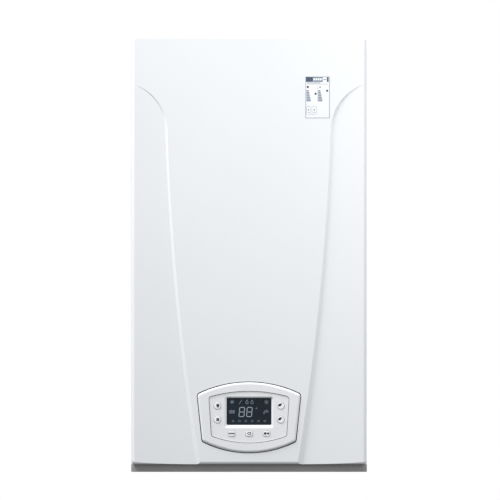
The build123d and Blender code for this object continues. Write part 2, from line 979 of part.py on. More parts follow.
# Air pressure switch: round capsule on the chamber's rear wall, with two nipples.
def make_air_pressure_switch():
    back = chamber_back + sheet
    with BuildPart() as switch:
        rod_forward(-140, scroll_height - 10, 31, (back, back + 12))
        rod_forward(-140, scroll_height - 10, 27, (back + 12, back + 38))
        rod_forward(-140, scroll_height - 10, 9, (back + 38, back + 48))
        for height in (-14, 0):
            rod_across(fan_back - 13, scroll_height - 10 + height, 2.5, (-120, -105))
    write(switch, "air_pressure_switch")


# Pressure tubes: two silicone tubes from the switch to the hood.
def make_pressure_tubes():
    depth = fan_back - 13
    start = -105
    end = -scroll_offset - 48 - 9
    with BuildPart() as tubes:
        for low, high, middle in ((-24, 0, -83), (-10, 24, -97)):
            points = [
                (start - 6, depth, scroll_height + low),
                (middle, depth, scroll_height + low),
                (middle, depth, scroll_height + high),
                (end + 6, depth, scroll_height + high),
            ]
            bent_pipe(points, 6, 4, 1.45)
    write(tubes, "pressure_tubes")


# Heat exchanger: copper block of fins on flat tubes, with a header at each side.
def make_heat_exchanger():
    with BuildPart() as exchanger:
        for depth in (fire_back, fire_front - 1):
            block((-fire_half_width, fire_half_width), (depth, depth + 1), (fin_foot, fin_top))
        pitch = (2 * fire_half_width - fin_thickness) / (fin_count - 1)
        for index in range(fin_count):
            x = -fire_half_width + index * pitch
            block((x, x + fin_thickness), (fire_back, fire_front), (fin_foot + 4, fin_top - 2))
        row = (fire_front - fire_back) / tube_count
        middle = (fin_foot + fin_top) / 2
        for index in range(tube_count):
            depth = fire_back + row * (index + 0.5)
            rod_across(depth, middle, tube_radius, (-heating_x, heating_x))
        for side in (-1, 1):
            x = side * heating_x
            rod_forward(x, middle, header_radius, (fire_back, fire_front))
            rod_up(x, fire_depth, header_radius, (fin_foot - 14, middle))
    write(exchanger, "heat_exchanger")


# Combustion box: open-ended sheet box with two rear tabs on the chamber's wall.
def make_combustion_box():
    half = fire_half_width
    with BuildPart() as box:
        block((-half, half), (fire_back, fire_front), (fire_foot, fire_top))
        block(
            (-half + sheet, half - sheet),
            (fire_back + sheet, fire_front - sheet),
            (fire_foot - 1, fire_top + 1),
            Mode.SUBTRACT,
        )
        for height in (fire_foot + 6, fire_top - 10):
            for x in (-90, 60):
                tab = (chamber_back + sheet, fire_back)
                block((x, x + 30), tab, (height, height + heavy_sheet))
        for x in (-45, 45):
            front = (fire_front - 2, fire_front + 1)
            rod_forward(x, fire_foot + 14, 4.2, front, Mode.SUBTRACT)
    write(box, "combustion_box")


# Insulation boards: four pressed fibre boards that line the combustion box.
def make_insulation_boards():
    half = fire_half_width - sheet
    back = fire_back + sheet
    front = fire_front - sheet
    span = (fire_foot + 2, fire_top - 2)
    with BuildPart() as boards:
        block((-half, half), (back, back + board_wall), span)
        block((-half, half), (front - board_wall, front), span)
        for x in (-half, half - board_wall):
            block((x, x + board_wall), (back + board_wall + seam, front - board_wall - seam), span)
        for x in (-45, 45):
            bore = (front - board_wall - 1, front + 1)
            rod_forward(x, fire_foot + 14, 4.2, bore, Mode.SUBTRACT)
    write(boards, "insulation_boards")


def bar_places():
    """Places of the burner bars across the fire."""
    span = 2 * (fire_half_width - 14)
    return [-span / 2 + span * index / (burner_bars - 1) for index in range(burner_bars)]


# Burner: row of slotted steel bars held by two rails.
def make_burner():
    top = burner_foot + burner_height
    with BuildPart() as burner:
        for x in bar_places():
            block((x - 5, x + 5), (fire_back + 4, fire_front - 4), (burner_foot + 12, top))
            rod_forward(x, burner_foot + 8, 7, (fire_back + 10, fire_front - 2))
            rod_forward(x, burner_foot + 8, 5, (fire_back + 20, fire_front), Mode.SUBTRACT)
        for depth in (fire_back, fire_front - 4):
            rail = (depth, depth + 4)
            block((-fire_half_width, fire_half_width), rail, (top - 14, top - 6))
        for x in (-fire_half_width, fire_half_width - 3):
            block((x, x + 3), (fire_back, fire_front), (chamber_foot + sheet, top))
    write(burner, "burner")


# Gas manifold: square tube with one nozzle for each bar, carried by the burner's sides.
def make_gas_manifold():
    middle = burner_foot + 8
    back = fire_front + 4
    half = fire_half_width
    with BuildPart() as manifold:
        block((-half, half), (back, back + 13), (middle - 7, middle + 7))
        block((-half + 2, half - 2), (back + 2, back + 11), (middle - 5, middle + 5), Mode.SUBTRACT)
        for x in bar_places():
            rod_forward(x, middle, 3, (fire_front - 4, back + 1))
        for x in (-half, half - 3):
            block((x, x + 3), (fire_front, back), (middle - 7, middle + 7))
        rod_up(0, back + 6.5, 7, (middle - 14, middle - 6))
    write(manifold, "gas_manifold")


# Electrodes: ignition and flame-sensing rods in ceramic sleeves.
def make_electrodes():
    height = fire_foot + 14
    with BuildPart() as electrodes:
        for x in (-45, 45):
            rod_forward(x, height, 4, (fire_front - 24, fire_front + 10))
            rod_forward(x, height, 6, (fire_front, fire_front + 4))
            rod_forward(x, height, 1.2, (fire_front - 60, fire_front - 24))
            rod_forward(x, height, 1.5, (fire_front + 10, fire_front + 16))
    write(electrodes, "electrodes")


# Gas valve: cast body with a regulator tower and two solenoids.
def make_gas_valve():
    with BuildPart() as valve:
        middle = (valve_foot + valve_top) / 2
        block((-32, 32), (86, 148), (valve_foot, valve_top))
        fillet(valve.edges().filter_by(Axis.Y), 5)
        block((-22, 22), (148, 168), (middle - 18, middle + 18))
        for x in (-17, 17):
            rod_forward(x, middle, 13, (168, 196))
        rod_up(0, pipe_depth, 14, (valve_foot - 12, valve_foot))
        rod_up(0, gas_depth, 12, (valve_top, valve_top + 16))
        rod_across(118, middle, 12, (32, 46))
        rod_up(0, pipe_depth, 7.2, (valve_foot - 16, valve_foot - 4), Mode.SUBTRACT)
        rod_up(0, gas_depth, 7.2, (valve_top + 6, valve_top + 20), Mode.SUBTRACT)
    write(valve, "gas_valve")


# Gas pipes: the inlet from the stub and the riser to the manifold.
def make_gas_pipes():
    middle = burner_foot + 8
    manifold = fire_front + 10.5
    with BuildPart() as pipes:
        threaded_stub(0, large_thread, base_top + 10)
        rod_up(0, pipe_depth, 7, (base_top, valve_foot - 4.3))
        rod_up(0, pipe_depth, 6, (stub_foot - 1, valve_foot), Mode.SUBTRACT)
        riser = [
            (0, gas_depth, valve_top + 6.3),
            (0, gas_depth, middle - 24),
            (0, manifold, middle - 24),
            (0, manifold, middle - 14),
        ]
        bent_pipe(riser, 9.5, 7, pipe_wall)
    write(pipes, "gas_pipes")


# Plate exchanger: brazed stack of plates with four ports at its back.
def make_plate_exchanger():
    half = exchanger_half_width
    pitch = (plate_front - plate_back) / plate_count
    with BuildPart() as exchanger:
        block((-half + 3, half - 3), (plate_back, plate_front), (plate_foot + 3, plate_top - 3))
        for index in range(plate_count):
            depth = plate_back + index * pitch
            rim = (depth, depth + pitch / 2)
            block((-half, half), rim, (plate_foot, plate_top))
        fillet(exchanger.edges().filter_by(Axis.Y).group_by(Axis.Z)[0], 2)
        for x in (-pipe_pitch, pipe_pitch):
            for height in (hot_port, heating_port):
                rod_forward(x, height, 10, (plate_back - 6, plate_back))
                rod_forward(x, height, 6, (plate_back - 7, plate_back), Mode.SUBTRACT)
    write(exchanger, "plate_exchanger")


def group_body(side):
    """Common form of the two brass groups: an upright body with an arm to the plate exchanger."""
    x = side * heating_x
    threaded_stub(x, large_thread, base_top + 4)
    rod_up(x, pipe_depth, group_radius, (base_top, group_top))
    rod_forward(x, heating_port, 10, (pipe_depth, 146))
    rod_across(146, heating_port, 10, sorted((x, side * pipe_pitch)))
    rod_forward(side * pipe_pitch, heating_port, 10, (136, plate_back - 6))
    rod_forward(x, valve_port, 13, (pipe_depth, 160))


# Flow group: body with the three-way valve's bonnet at its front.
def make_flow_group():
    x = -heating_x
    with BuildPart() as group:
        group_body(-1)
        rod_up(x, pipe_depth, 12, (group_top, group_top + 26))
        rod_up(x, pipe_depth, 8.8, (group_top + 8, group_top + 28), Mode.SUBTRACT)
        rod_up(x, pipe_depth, 9, (stub_foot - 1, base_height), Mode.SUBTRACT)
        rod_forward(x, valve_port, 4, (126, 161), Mode.SUBTRACT)
    write(group, "flow_group")


# Diverter motor: its collar sits on the bonnet, with the spindle inside.
def make_diverter_motor():
    x = -heating_x
    with BuildPart() as motor:
        rod_forward(x, valve_port, 14, (160, 172))
        block((x - 24, x + 24), (170, 204), (valve_port - 22, valve_port + 26))
        fillet(motor.edges().filter_by(Axis.Y), 3)
        rod_forward(x, valve_port, 4, (159, 184), Mode.SUBTRACT)
    write(motor, "diverter_motor")


# Diverter spindle: steel rod that the motor pushes to turn the flow to the plate exchanger.
def make_diverter_spindle():
    x = -heating_x
    with BuildPart() as spindle:
        rod_forward(x, valve_port, 3.95, (134, 140))
        rod_forward(x, valve_port, 3, (140, 176))
        rod_forward(x, valve_port, 3.95, (170, 176))
    write(spindle, "diverter_spindle")


# Return group: body below the pump, with the safety valve's boss at its front.
def make_return_group():
    x = heating_x
    with BuildPart() as group:
        group_body(1)
        rod_up(x, pipe_depth, 9, (stub_foot - 1, base_height), Mode.SUBTRACT)
        rod_across(pipe_depth, 56, 7, (1.5 * pipe_pitch + 10, x))
    write(group, "return_group")


# Safety valve: brass body with a drain through the base plate.
def make_safety_valve():
    x = heating_x
    with BuildPart() as valve:
        rod_forward(x, valve_port, 14, (160, 171))
        rod_forward(x, valve_port, 3, (170, 186))
        rod_up(x, 165.5, 5, (56, valve_port))
        rod_forward(x, 56, 5, (150, 165.5))
        rod_up(x, 150, 5, (24, 56))
    write(valve, "safety_valve")


# Safety valve knob: fluted cap turned by hand to lift the valve.
def make_safety_valve_knob():
    x = heating_x
    with BuildPart() as knob:
        rod_forward(x, valve_port, 13, (171.3, 190))
        for index in range(8):
            turn = radians(index * 45)
            flute_x = x + 14.5 * cos(turn)
            rod_forward(
                flute_x,
                valve_port + 14.5 * sin(turn),
                3,
                (170, 191),
                Mode.SUBTRACT,
            )
        rod_forward(x, valve_port, 3.05, (170, 186.3), Mode.SUBTRACT)
    write(knob, "safety_valve_knob")


# Pump body: volute with a spigot below, one above and a boss for the air vent.
def make_pump_body():
    x = heating_x
    back = pipe_depth - volute_half_width
    front = pipe_depth + volute_half_width
    with BuildPart() as body:
        rod_forward(x, volute_height, volute_radius, (back, front))
        rod_up(x, pipe_depth, 14, (group_top, volute_height))
        rod_up(x, pipe_depth, 12, (volute_height, volute_height + volute_radius + 14))
        rod_up(x + 30, pipe_depth, 10, (volute_height, volute_height + 42))
        rod_forward(x, volute_height, 28, (back + 6, front + 1), Mode.SUBTRACT)
        top = volute_height + volute_radius + 14
        rod_up(x, pipe_depth, 8.8, (top - 12, top + 1), Mode.SUBTRACT)
    write(body, "pump_body")


# Pump motor: round can bolted to the volute, with an electric box at its side.
def make_pump_motor():
    x = heating_x
    back = pipe_depth + volute_half_width
    front = back + pump_motor_length
    with BuildPart() as motor:
        rod_forward(x, volute_height, pump_motor_radius, (back, front))
        fillet(motor.faces().sort_by(Axis.Y)[0].edges(), 5)
        block((x - 30, x + 30), (back + 12, front - 10), (volute_height + 20, volute_height + 52))
        rod_forward(x, volute_height, 7, (front, front + 2))
        rod_forward(x, volute_height, rotor_radius + 1, (back - 1, front - 12), Mode.SUBTRACT)
        rod_forward(x, volute_height, 3.05, (front - 13, front - 6), Mode.SUBTRACT)
    write(motor, "pump_motor")


# Pump rotor: magnet rotor and impeller on one shaft.
def make_pump_rotor():
    x = heating_x
    back = pipe_depth + volute_half_width
    front = back + pump_motor_length
    with BuildPart() as rotor:
        rod_forward(x, volute_height, rotor_radius, (back + 4, front - 16))
        rod_forward(x, volute_height, 3, (back - 20, front - 7))
        rod_forward(x, volute_height, 25, (back - 18, back - 14))
        for index in range(6):
            with Locations(
                Location((x, -back + 10, floor + volute_height), (0, index * 60, 0))
            ):
                Box(23, 10, 2, align=(Align.MIN, Align.CENTER, Align.CENTER))
    write(rotor, "pump_rotor")


# Air vent: float chamber with a cap at its top.
def make_air_vent():
    x = heating_x + 30
    foot = volute_height + 42
    with BuildPart() as vent:
        rod_up(x, pipe_depth, 10, (foot, foot + 22))
        rod_up(x, pipe_depth, 5, (foot + 22, foot + 28))
        rod_across(pipe_depth, foot + 12, 4, (x, x + 16))
    write(vent, "air_vent")


# Heating pipes: flow from the heat exchanger down, return from the pump up.
def make_heating_pipes():
    top = fin_foot - 14
    jog = chamber_foot + 40
    ends = (
        (-heating_x, "flow_pipe", group_top + 8.3),
        (heating_x, "return_pipe", volute_height + volute_radius + 2.3),
    )
    for x, name, foot in ends:
        points = [
            (x, pipe_depth, foot),
            (x, pipe_depth, jog),
            (x, fire_depth, jog + 60),
            (x, fire_depth, top),
        ]
        with BuildPart() as pipe:
            bent_pipe(points, 30, 8.5, pipe_wall)
        write(pipe, name)


def tank_form(inset):
    """Outer form of the expansion tank, or with an inset of the sheet, its hollow."""
    with BuildPart() as form:
        with BuildSketch(front_plane(tank_back + inset)):
            with Locations((0, tank_foot + tank_height / 2)):
                RectangleRounded(
                    2 * (tank_half_width - inset),
                    tank_height - 2 * inset,
                    tank_corner - inset,
                )
        extrude(amount=tank_front - tank_back - 2 * inset)
        for end in (0, -1):
            fillet(form.faces().sort_by(Axis.Y)[end].edges(), tank_round - inset)
    return form.part


# Expansion tank: two pressed steel shells crimped round a diaphragm, flat enough to lie at the back.
def make_expansion_tank():
    middle = (tank_back + tank_front) / 2
    top = tank_foot + tank_height
    rim = 4
    with BuildPart() as tank:
        add(tank_form(0))
        with BuildSketch(front_plane(middle - 3)):
            with Locations((0, (tank_foot + top) / 2)):
                RectangleRounded(2 * (tank_half_width + rim), tank_height + 2 * rim, tank_corner + rim)
        extrude(amount=6)
        add(tank_form(heavy_sheet), mode=Mode.SUBTRACT)
        rod_up(0, middle, 4, (top, top + 18))
        rod_up(90, middle, 9, (tank_foot - 10, tank_foot + heavy_sheet))
        for x in (-80, 50):
            for height in (tank_foot + 60, top - 60):
                block((x, x + 30), (heavy_sheet, tank_back + 1), (height - 20, height + 20))
    write(tank, "expansion_tank")


# Expansion pipe: thin pipe from the tank to the pump's volute.
def make_expansion_pipe():
    middle = (tank_back + tank_front) / 2
    back = pipe_depth - volute_half_width
    points = [
        (90, middle, tank_foot - 10),
        (90, middle, volute_height + 16),
        (120, middle, volute_height),
        (120, back, volute_height),
    ]
    with BuildPart() as pipe:
        bent_pipe(points, 12, 5, pipe_wall)
    write(pipe, "expansion_pipe")


# Hot water pipe: from the plate exchanger to its stub.
def make_hot_water_pipe():
    with BuildPart() as pipe:
        threaded_stub(-pipe_pitch, small_thread, base_top)
        points = [
            (-pipe_pitch, pipe_depth, base_top),
            (-pipe_pitch, pipe_depth, hot_port),
            (-pipe_pitch, plate_back - 6, hot_port),
        ]
        bent_pipe(points, 14, 7, 0)
        rod_up(-pipe_pitch, pipe_depth, 6, (stub_foot - 1, base_top + 4), Mode.SUBTRACT)
    write(pipe, "hot_water_pipe")


# Cold inlet: brass body with the flow sensor, the filling tap and the link to the return group.
def make_cold_inlet():
    x = pipe_pitch
    link = 1.5 * pipe_pitch
    with BuildPart() as inlet:
        threaded_stub(x, small_thread, base_top + 4)
        rod_up(x, pipe_depth, 12, (base_top, hot_port + 8))
        rod_forward(x, hot_port, 8, (pipe_depth, plate_back - 6))
        rod_across(pipe_depth, 56, 7, (x, link + 10))
        rod_up(link, pipe_depth, 9, (base_top, 66))
        rod_up(link, pipe_depth, 3, (18, base_top + 1))
        rod_up(x, pipe_depth, 6, (stub_foot - 1, base_top), Mode.SUBTRACT)
    write(inlet, "cold_inlet")


# Filling knob: winged knob under the base plate.
def make_filling_knob():
    link = 1.5 * pipe_pitch
    with BuildPart() as knob:
        rod_up(link, pipe_depth, 8, (17, 35))
        block((link - 2, link + 2), (pipe_depth - 12, pipe_depth + 12), (17, 30))
        rod_up(link, pipe_depth, 3.05, (17.7, 36), Mode.SUBTRACT)
    write(knob, "filling_knob")


# Cable gland: moulded inlet in the base plate, with a bore for the supply lead.
def make_cable_gland():
    with BuildPart() as gland:
        bore = (base_height - 18, base_top + 9)
        rod_up(gland_x, gland_depth, gland_radius, (base_height - 6, base_top + 7))
        hex_nut(gland_x, gland_depth, gland_radius + 5, (base_top, base_top + 6))
        hex_nut(gland_x, gland_depth, gland_radius + 5, (base_height - 5, base_height))
        rod_up(gland_x, gland_depth, gland_radius + 2, (base_height - 16, base_height - 5))
        rod_up(gland_x, gland_depth, gland_bore, bore, Mode.SUBTRACT)
    write(gland, "cable_gland")


make_wall_bracket()
make_back_frame()
make_side_panels()
make_top_plate()
make_base_plate()
make_lower_skirt()
make_front_cover()
make_bezel()
make_fascia()
make_display_window()
make_buttons()
make_control_box()
make_hinge_pins()
make_control_brackets()
make_circuit_board()
make_chamber_box()
make_chamber_lid()
make_sight_glass()
make_screws()
make_flue_collar()
make_fan_housing()
make_fan_motor()
make_fan_impeller()
make_flue_hood()
make_air_pressure_switch()
make_pressure_tubes()
make_heat_exchanger()
make_combustion_box()
make_insulation_boards()
make_burner()
make_gas_manifold()
make_electrodes()
make_gas_valve()
make_gas_pipes()
make_plate_exchanger()
make_flow_group()
make_diverter_motor()
make_diverter_spindle()
make_return_group()
make_safety_valve()
make_safety_valve_knob()
make_pump_body()
make_pump_motor()
make_pump_rotor()
make_air_vent()
make_heating_pipes()
make_expansion_tank()
make_expansion_pipe()
make_hot_water_pipe()
make_cold_inlet()
make_filling_knob()
make_cable_gland()
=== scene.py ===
import math

import bmesh
import bpy
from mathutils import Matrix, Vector


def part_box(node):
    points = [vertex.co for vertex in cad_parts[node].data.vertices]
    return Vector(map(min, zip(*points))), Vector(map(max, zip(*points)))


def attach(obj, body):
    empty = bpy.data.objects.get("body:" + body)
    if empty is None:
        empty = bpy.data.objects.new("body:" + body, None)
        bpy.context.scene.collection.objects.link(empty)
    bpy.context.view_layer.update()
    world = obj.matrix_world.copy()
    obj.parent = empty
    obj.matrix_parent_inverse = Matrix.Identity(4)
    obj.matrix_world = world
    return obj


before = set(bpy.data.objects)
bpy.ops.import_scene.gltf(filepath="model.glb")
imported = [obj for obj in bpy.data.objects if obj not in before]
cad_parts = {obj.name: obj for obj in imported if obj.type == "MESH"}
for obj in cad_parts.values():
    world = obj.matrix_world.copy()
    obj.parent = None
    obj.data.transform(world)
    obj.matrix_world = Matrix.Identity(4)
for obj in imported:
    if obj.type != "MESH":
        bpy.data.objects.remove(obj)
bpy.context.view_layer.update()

# Camera: a long lens far in front of the cover, level with the middle of the picture, so that the
# side panels show only as hairlines beside the cover.
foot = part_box("lower_skirt")[0].z
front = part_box("front_cover")[0].y
camera_distance = 20.0
view_width = 0.8475
view_height = 0.3763
view_shift = 0.0017
sensor = 36.0
camera_data = bpy.data.cameras.new("camera")
camera_data.sensor_width = sensor
camera_data.lens = sensor * camera_distance / view_width
camera_data.clip_end = 100
camera = bpy.data.objects.new("camera", camera_data)
camera.location = (view_shift, front - camera_distance, foot + view_height)
camera.rotation_euler = (math.pi / 2, 0, 0)
bpy.context.scene.collection.objects.link(camera)
bpy.context.scene.camera = camera
bpy.context.scene.view_settings.view_transform = "Standard"


# Room light: a soft lamp at the upper left gives the cover its fall from bright to pale grey, a
# weak one fills from the right, and one behind keeps the wall side readable.
def add_lamp(name, place, target, side, power):
    """Square soft lamp that looks at a point."""
    data = bpy.data.lights.new(name, "AREA")
    data.shape = "SQUARE"
    data.size = side
    data.energy = power
    lamp = bpy.data.objects.new(name, data)
    lamp.location = place
    lamp.rotation_euler = (Vector(target) - Vector(place)).to_track_quat("-Z", "Y").to_euler()
    bpy.context.scene.collection.objects.link(lamp)


cover_middle = 0.385
middle_cover = (0, front, foot + cover_middle)
add_lamp("key_lamp", (-2.2, -1.2, 2.6), middle_cover, 1.4, 178)
add_lamp("right_lamp", (0.8, -1.2, 0.3), middle_cover, 1.4, 12.2)
add_lamp("rear_lamp", (0.8, 2.3, 0.9), middle_cover, 1.6, 14)

ambient = 0.41
world = bpy.data.worlds.new("pale_room")
world.use_nodes = True
bpy.context.scene.world = world
room = world.node_tree
seen = room.nodes["Background"]
seen.inputs["Color"].default_value = (1, 1, 1, 1)
seen.inputs["Strength"].default_value = 1.0
felt = room.nodes.new("ShaderNodeBackground")
felt.inputs["Color"].default_value = (0.95, 0.975, 1, 1)
felt.inputs["Strength"].default_value = ambient
rays = room.nodes.new("ShaderNodeLightPath")
either = room.nodes.new("ShaderNodeMath")
any_seen = room.nodes.new("ShaderNodeMath")
any_seen.use_clamp = True
choice = room.nodes.new("ShaderNodeMixShader")
room.links.new(rays.outputs["Is Camera Ray"], either.inputs[0])
room.links.new(rays.outputs["Is Glossy Ray"], either.inputs[1])
room.links.new(either.outputs[0], any_seen.inputs[0])
room.links.new(rays.outputs["Is Transmission Ray"], any_seen.inputs[1])
room.links.new(any_seen.outputs[0], choice.inputs[0])
room.links.new(felt.outputs[0], choice.inputs[1])
room.links.new(seen.outputs[0], choice.inputs[2])
room.links.new(choice.outputs[0], room.nodes["World Output"].inputs["Surface"])

# Floor: a wide disc of mottled grey paint far below the boiler, for the views from the side and from
# behind. The camera of the main view doesn't reach it.
floor_drop = 1.2
floor_radius = 6.0
floor_mesh = bpy.data.meshes.new("floor")
floor_shape = bmesh.new()
bmesh.ops.create_circle(floor_shape, cap_ends=True, segments=96, radius=floor_radius)
bmesh.ops.translate(floor_shape, verts=floor_shape.verts, vec=(0, 0, foot - floor_drop))
floor_shape.to_mesh(floor_mesh)
floor_shape.free()
floor = bpy.data.objects.new("floor", floor_mesh)
bpy.context.scene.collection.objects.link(floor)
floor_paint = bpy.data.materials.new("floor_paint")
floor_paint.use_nodes = True
floor_tree = floor_paint.node_tree
floor_tree.nodes["Principled BSDF"].inputs["Roughness"].default_value = 0.8
mottle = floor_tree.nodes.new("ShaderNodeTexNoise")
mottle.inputs["Scale"].default_value = 2.0
floor_tone = floor_tree.nodes.new("ShaderNodeMix")
floor_tone.data_type = "RGBA"
floor_tone.inputs[6].default_value = (0.17, 0.173, 0.178, 1)
floor_tone.inputs[7].default_value = (0.19, 0.193, 0.198, 1)
floor_tree.links.new(mottle.outputs["Fac"], floor_tone.inputs[0])
floor_tree.links.new(floor_tone.outputs[2], floor_tree.nodes["Principled BSDF"].inputs["Base Color"])
floor_mesh.materials.append(floor_paint)


# Wall bracket: zinc plated strip screwed to the wall, with a ledge that carries the whole boiler.
# Zinc plate is pale and slightly yellow, with a fine drawn grain and a little cloudiness.
def add_node(tree, kind, **settings):
    """Shader node with its properties set."""
    node = tree.nodes.new(kind)
    for name, value in settings.items():
        setattr(node, name, value)
    return node


def make_finish(name, colour, shade, gloss, clouds, grain, depth, metal=0.0, coat=0.0):
    """Finish of two near colours in soft clouds, with uneven gloss and a fine grain in its surface.

    gloss is the lowest and highest roughness; clouds and grain are patterns per metre."""
    finish = bpy.data.materials.new(name)
    finish.use_nodes = True
    tree = finish.node_tree
    shader = tree.nodes["Principled BSDF"]
    shader.inputs["Metallic"].default_value = metal
    shader.inputs["Coat Weight"].default_value = coat
    shader.inputs["Coat Roughness"].default_value = 0.12
    place = add_node(tree, "ShaderNodeTexCoord")
    cloud = add_node(tree, "ShaderNodeTexNoise")
    cloud.inputs["Scale"].default_value = clouds
    cloud.inputs["Detail"].default_value = 4
    blend = add_node(tree, "ShaderNodeMix", data_type="RGBA")
    blend.inputs[6].default_value = (*colour, 1)
    blend.inputs[7].default_value = (*shade, 1)
    even = add_node(tree, "ShaderNodeMapRange")
    even.inputs["From Min"].default_value = 0.3
    even.inputs["From Max"].default_value = 0.7
    rough = add_node(tree, "ShaderNodeMapRange")
    rough.inputs["To Min"].default_value = gloss[0]
    rough.inputs["To Max"].default_value = gloss[1]
    fine = add_node(tree, "ShaderNodeTexNoise")
    fine.inputs["Scale"].default_value = grain
    fine.inputs["Detail"].default_value = 2
    bump = add_node(tree, "ShaderNodeBump")
    bump.inputs["Distance"].default_value = depth
    bump.inputs["Strength"].default_value = 0.5
    tree.links.new(place.outputs["Object"], cloud.inputs["Vector"])
    tree.links.new(place.outputs["Object"], fine.inputs["Vector"])
    tree.links.new(cloud.outputs["Fac"], even.inputs["Value"])
    tree.links.new(even.outputs[0], blend.inputs[0])
    tree.links.new(blend.outputs[2], shader.inputs["Base Color"])
    tree.links.new(fine.outputs["Fac"], rough.inputs["Value"])
    tree.links.new(rough.outputs[0], shader.inputs["Roughness"])
    tree.links.new(fine.outputs["Fac"], bump.inputs["Height"])
    tree.links.new(bump.outputs[0], shader.inputs["Normal"])
    return finish


def dress(finish, *names):
    """Gives carried-over nodes their finish."""
    for name in names:
        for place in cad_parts[name].material_slots:
            place.material = finish


zinc = make_finish(
    "zinc_plate", (0.60, 0.60, 0.57), (0.48, 0.47, 0.42), (0.26, 0.42), 22, 900, 0.00004, metal=1.0
)
dress(zinc, "wall_bracket")


# Back frame, top plate and base plate: folded galvanised sheet, spot-welded and screwed together.
# The zinc freezes in flakes of different grey, each with its own gloss.
def make_spangle(name, light, dark, gloss, flakes):
    """Galvanised finish: crystal flakes that differ in grey and gloss."""
    finish = make_finish(name, light, dark, gloss, 9, 700, 0.00003, metal=1.0)
    tree = finish.node_tree
    shader = tree.nodes["Principled BSDF"]
    place = tree.nodes["Texture Coordinate"]
    crystal = add_node(tree, "ShaderNodeTexVoronoi")
    crystal.inputs["Scale"].default_value = flakes
    crystal.inputs["Randomness"].default_value = 1.0
    grey = add_node(tree, "ShaderNodeSeparateColor")
    tone = add_node(tree, "ShaderNodeMix", data_type="RGBA")
    tone.inputs[6].default_value = (*light, 1)
    tone.inputs[7].default_value = (*dark, 1)
    matt = add_node(tree, "ShaderNodeMapRange")
    matt.inputs["To Min"].default_value = gloss[0]
    matt.inputs["To Max"].default_value = gloss[1]
    tree.links.new(place.outputs["Object"], crystal.inputs["Vector"])
    tree.links.new(crystal.outputs["Color"], grey.inputs[0])
    tree.links.new(grey.outputs[0], tone.inputs[0])
    tree.links.new(tone.outputs[2], shader.inputs["Base Color"])
    tree.links.new(grey.outputs[1], matt.inputs["Value"])
    tree.links.new(matt.outputs[0], shader.inputs["Roughness"])
    return finish


galvanised = make_spangle("galvanised_sheet", (0.60, 0.61, 0.62), (0.44, 0.45, 0.47), (0.32, 0.5), 110)
dress(galvanised, "back_frame", "top_plate", "base_plate")

# Expansion tank: two pressed steel halves crimped round a rubber diaphragm and enamelled red. It
# hangs on the back frame by four pads.
tank_enamel = make_finish(
    "tank_enamel", (0.50, 0.035, 0.028), (0.41, 0.028, 0.022), (0.24, 0.36), 6, 260, 0.00008, coat=0.3
)
dress(tank_enamel, "expansion_tank")

# Sealed chamber: folded galvanised tray with a screwed lid, a seal between them and a sight glass
# in a rolled rim.
dress(galvanised, "chamber_box", "chamber_lid")
glass = make_finish(
    "sight_glass", (0.10, 0.13, 0.13), (0.07, 0.09, 0.10), (0.05, 0.12), 40, 300, 0.00001, coat=0.6
)
dress(glass, "sight_glass")

# Flue parts: a cast collar on the top plate, a sheet hood over the heat exchanger, the fan between
# them, and the switch that feels the draught through two silicone tubes.
cast_alloy = make_finish(
    "cast_alloy", (0.55, 0.56, 0.57), (0.44, 0.45, 0.47), (0.4, 0.62), 30, 520, 0.00015, metal=1.0
)
fan_sheet = make_spangle("fan_sheet", (0.56, 0.57, 0.58), (0.42, 0.43, 0.45), (0.35, 0.5), 140)
motor_enamel = make_finish(
    "motor_enamel", (0.022, 0.024, 0.027), (0.014, 0.015, 0.017), (0.3, 0.46), 12, 420, 0.0001, coat=0.15
)
switch_plastic = make_finish(
    "switch_plastic", (0.028, 0.028, 0.031), (0.018, 0.018, 0.02), (0.42, 0.58), 14, 800, 0.00005
)
silicone = make_finish(
    "silicone", (0.60, 0.57, 0.53), (0.52, 0.49, 0.44), (0.45, 0.6), 30, 300, 0.00003
)
dress(cast_alloy, "flue_collar")
dress(fan_sheet, "fan_housing", "fan_impeller", "flue_hood")
dress(motor_enamel, "fan_motor")
dress(switch_plastic, "air_pressure_switch")
dress(silicone, "pressure_tubes")

# Fire: slotted steel bars with a gas nozzle each, a box lined with pressed fibre board, two sparking
# rods in ceramic sleeves, and a block of copper fins on the water's tubes above the flames.
burner_steel = make_finish(
    "burner_steel", (0.46, 0.42, 0.37), (0.30, 0.27, 0.29), (0.3, 0.48), 26, 500, 0.00005, metal=1.0
)
fibre_board = make_finish(
    "fibre_board", (0.74, 0.69, 0.60), (0.62, 0.56, 0.46), (0.85, 0.95), 35, 420, 0.0005
)
ceramic = make_finish(
    "ceramic", (0.82, 0.80, 0.75), (0.74, 0.71, 0.65), (0.25, 0.4), 60, 300, 0.00003
)
copper = make_finish(
    "copper", (0.66, 0.31, 0.19), (0.42, 0.19, 0.12), (0.26, 0.44), 17, 380, 0.00004, metal=1.0
)
dress(burner_steel, "burner", "combustion_box")
dress(fibre_board, "insulation_boards")
dress(ceramic, "electrodes")
dress(zinc, "gas_manifold")
dress(copper, "heat_exchanger")

# Gas side: a die-cast valve body with its two coils, between the inlet stub and the riser, both
# bent from copper tube.
dress(cast_alloy, "gas_valve")
dress(copper, "gas_pipes")

